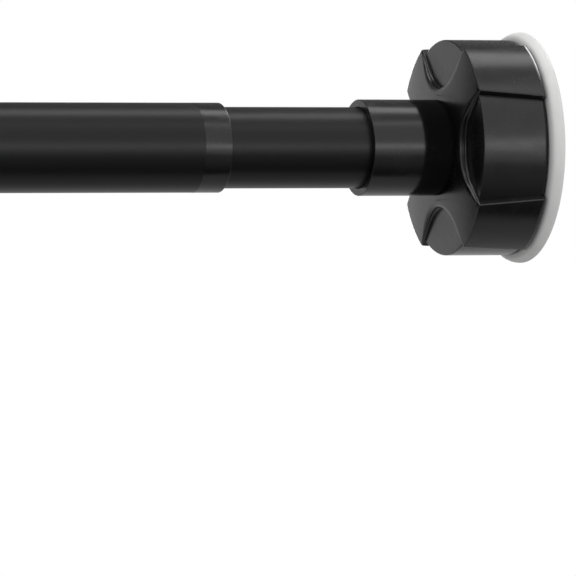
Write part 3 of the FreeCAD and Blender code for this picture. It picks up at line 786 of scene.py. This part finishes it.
def card(name, quads, tones, axis=ALONG_X, one_way=False, sampled=False):
    """A glowing card for mirrors, of one tone or with (place, tone) stops along an axis.

    A one-way card is clear from its front, and Cycles aims rays at a sampled one as at a lamp.
    """
    paint, shader, place = start_finish(f"{name}_paint")
    shader.inputs["Base Color"].default_value = (0, 0, 0, 1)
    shader.inputs["Specular IOR Level"].default_value = 0.0
    shader.inputs["Emission Color"].default_value = (1, 1, 1, 1)
    graded = isinstance(tones, list)
    shader.inputs["Emission Strength"].default_value = 1.0 if graded else tones
    if graded:
        first, last = tones[0][0], tones[-1][0]
        stops = [((at - first) / (last - first), (tone, tone, tone, 1)) for at, tone in tones]
        along = place.node("ShaderNodeSeparateXYZ", None, {0: place}, output=axis)
        share = ramp(along, first, last)
        tone = share.node("ShaderNodeValToRGB", {"stops": stops}, {"Fac": share})
        connect(shader, Emission_Color=tone)
    if one_way:
        output = next(node for node in paint.node_tree.nodes if node.type == "OUTPUT_MATERIAL")
        inside = Signal(paint.node_tree.nodes.new("ShaderNodeNewGeometry").outputs["Backfacing"])
        clear = place.node("ShaderNodeBsdfTransparent")
        sides = {0: inside, 1: clear, 2: Signal(shader.outputs["BSDF"])}
        mixed = place.node("ShaderNodeMixShader", None, sides)
        paint.node_tree.links.new(mixed.socket, output.inputs["Surface"])
    paint.cycles.emission_sampling = "FRONT_BACK" if sampled else "NONE"
    builder = bmesh.new()
    for quad in quads:
        builder.faces.new([builder.verts.new(corner) for corner in quad])
    bmesh.ops.remove_doubles(builder, verts=builder.verts, dist=SEAM)
    piece = finish_mesh(name, builder, paint)
    piece.visible_camera = False
    piece.visible_diffuse = False
    piece.visible_shadow = False
    return piece


def level_card(name, near_y, far_y, z, tones):
    near_edge = [(CARD_LEFT, near_y, z), (CARD_RIGHT, near_y, z)]
    far_edge = [(CARD_RIGHT, far_y, z), (CARD_LEFT, far_y, z)]
    card(name, [near_edge + far_edge], tones, ALONG_Y)


def upright_card(name, left, right, y, low, high, tones, sampled=False):
    corners = [(left, y, low), (right, y, low), (right, y, high), (left, y, high)]
    card(name, [corners], tones, sampled=sampled)


def facing_corners(centre, target, width, height):
    """The corners of a rectangle that faces a point."""
    turn = (Vector(target) - Vector(centre)).to_track_quat("-Z", "Y")
    signs = [(-1, -1), (1, -1), (1, 1), (-1, 1)]
    return [Vector(centre) + turn @ Vector((width / 2 * i, height / 2 * j, 0)) for i, j in signs]


def sleeve_card(name, start, start_radius, end, end_radius, tone, steps=96):
    """A tapered half sleeve before the rod that shows its tone inwards and is clear from outside."""
    turns = [SLEEVE_REACH * (2 * step / steps - 1) for step in range(steps + 1)]
    edge = [(-math.cos(turn), math.sin(turn)) for turn in turns]
    quads = []
    for (y, z), (next_y, next_z) in zip(edge, edge[1:]):
        quads.append([
            (start, start_radius * y, start_radius * z),
            (end, end_radius * y, end_radius * z),
            (end, end_radius * next_y, end_radius * next_z),
            (start, start_radius * next_y, start_radius * next_z),
        ])
    return card(name, quads, tone, one_way=True)


print("cards reach from", CARD_LEFT, "to", CARD_RIGHT)

# %% Cards below and above the rod
below_tones = [(-0.59, 0.27), (-0.12, 0.02)]
behind_tones = [(0.0, 0.44), (0.42, 0.6)]
level_card("dark_card", near_y=-0.13, far_y=-1.5, z=-0.40, tones=below_tones)
level_card("low_card", near_y=-0.15, far_y=1.4, z=-0.42, tones=behind_tones)
level_card("top_flag", near_y=-0.035, far_y=-0.33, z=0.9, tones=0.58)

# %% Cards behind the rod
BACK_Y = 0.85
HIGH_Y = 0.9
EDGE_Y = 1.0
GLINT_LEFT = 0.84
GLINT_RIGHT = 0.955

face_tones = [(0.18, 0.03), (0.31, 0.72), (0.45, 0.66), (0.58, 0.52), (0.78, 0.9)]
upright_card("high_card", CARD_LEFT, 1.82, HIGH_Y, low=0.19, high=2.49, tones=0.2)
upright_card("back_card", CARD_LEFT, 0.78, BACK_Y, low=-0.25, high=0.25, tones=face_tones)
upright_card(
    "low_glint_card", GLINT_LEFT, GLINT_RIGHT, EDGE_Y, low=-0.17, high=-0.05, tones=9.0, sampled=True)
upright_card(
    "high_glint_card", GLINT_LEFT, GLINT_RIGHT, EDGE_Y, low=0.05, high=0.17, tones=11.0, sampled=True)
upright_card("edge_card", 0.96, 1.7, EDGE_Y, low=-0.26, high=0.24, tones=0.55)

# %% Cards at the two ends
LEFT_NEAR = -2.2
LEFT_FAR = 0.9
LEFT_LOW = -0.4
LEFT_HIGH = 0.9
RIM_CARD_PLACE = (1.54, 0.52, 0.75)
RIM_CARD_TARGET = (0.785, 0, 0.03)

low_edge = [(CARD_LEFT, LEFT_NEAR, LEFT_LOW), (CARD_LEFT, LEFT_FAR, LEFT_LOW)]
high_edge = [(CARD_LEFT, LEFT_FAR, LEFT_HIGH), (CARD_LEFT, LEFT_NEAR, LEFT_HIGH)]
card("left_card", [low_edge + high_edge], tones=0.03)
rim_corners = facing_corners(RIM_CARD_PLACE, RIM_CARD_TARGET, width=0.55, height=0.25)
card("rim_card", [rim_corners], tones=10.0)

# %% [markdown]
# ## A dark flag at the collar's root
#
# Where the collar meets the knob the gloss turns black. A dark card far off would darken the rest of
# the collar too, so a small half sleeve stands close to the root, as a flag does on a photographer's
# arm. It is clear from outside, only mirrors see it, and it moves along with the knob.

# %% Flag at the collar
FLAG_START = 0.0158
FLAG_START_RADIUS = 0.0158
FLAG_END = 0.0240
FLAG_END_RADIUS = 0.0148
FLAG_TONE = 0.03

knob_flag = sleeve_card(
    "knob_flag", mouth_x + FLAG_START, FLAG_START_RADIUS, mouth_x + FLAG_END, FLAG_END_RADIUS, FLAG_TONE)
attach(knob_flag, "right_foot")

# %% [markdown]
# ## Softboxes
#
# Long softboxes overhead and in front draw the pale lines along the tubes, and a square one at the
# left lights the knob's face. A lamp alone could do both jobs. Here the lamp gives the light and a
# card in its place is the bright face that the gloss mirrors, so the two can be set apart: black
# pieces by the face, pale pads by the lamp.

# %% Lamps
def softbox(name, centre, target, width, height, face, light):
    """A rectangular lamp that faces a point, and the card that mirrors see in its place."""
    data = bpy.data.lights.new(name, "AREA")
    data.shape = "RECTANGLE"
    data.size = width
    data.size_y = height
    data.energy = light * math.pi * width * height
    lamp = bpy.data.objects.new(name, data)
    lamp.location = centre
    lamp.rotation_euler = (Vector(target) - Vector(centre)).to_track_quat("-Z", "Y").to_euler()
    lamp.visible_camera = False
    lamp.visible_glossy = False
    bpy.context.scene.collection.objects.link(lamp)
    card(f"{name}_face", [facing_corners(centre, target, width, height)], face)
    print(name, "gives", round(data.energy, 2), "W")


TUBE_TARGET = (0.7, 0, 0)
KNOB_TARGET = (0.76, 0, 0)
softbox("overhead_box", (0.7, 0.23, 1.2), TUBE_TARGET, width=3.0, height=0.38, face=2.7, light=1.45)
softbox("front_strip", (1.3, -2.0, 0.12), TUBE_TARGET, width=2.4, height=0.34, face=3.0, light=3.2)
softbox("left_box", (0.3, -0.15, 1.2), KNOB_TARGET, width=0.5, height=0.5, face=2.8, light=1.8)
softbox("front_batten", (0.7, -0.5, 0.87), TUBE_TARGET, width=3.0, height=0.15, face=1.85, light=1.05)
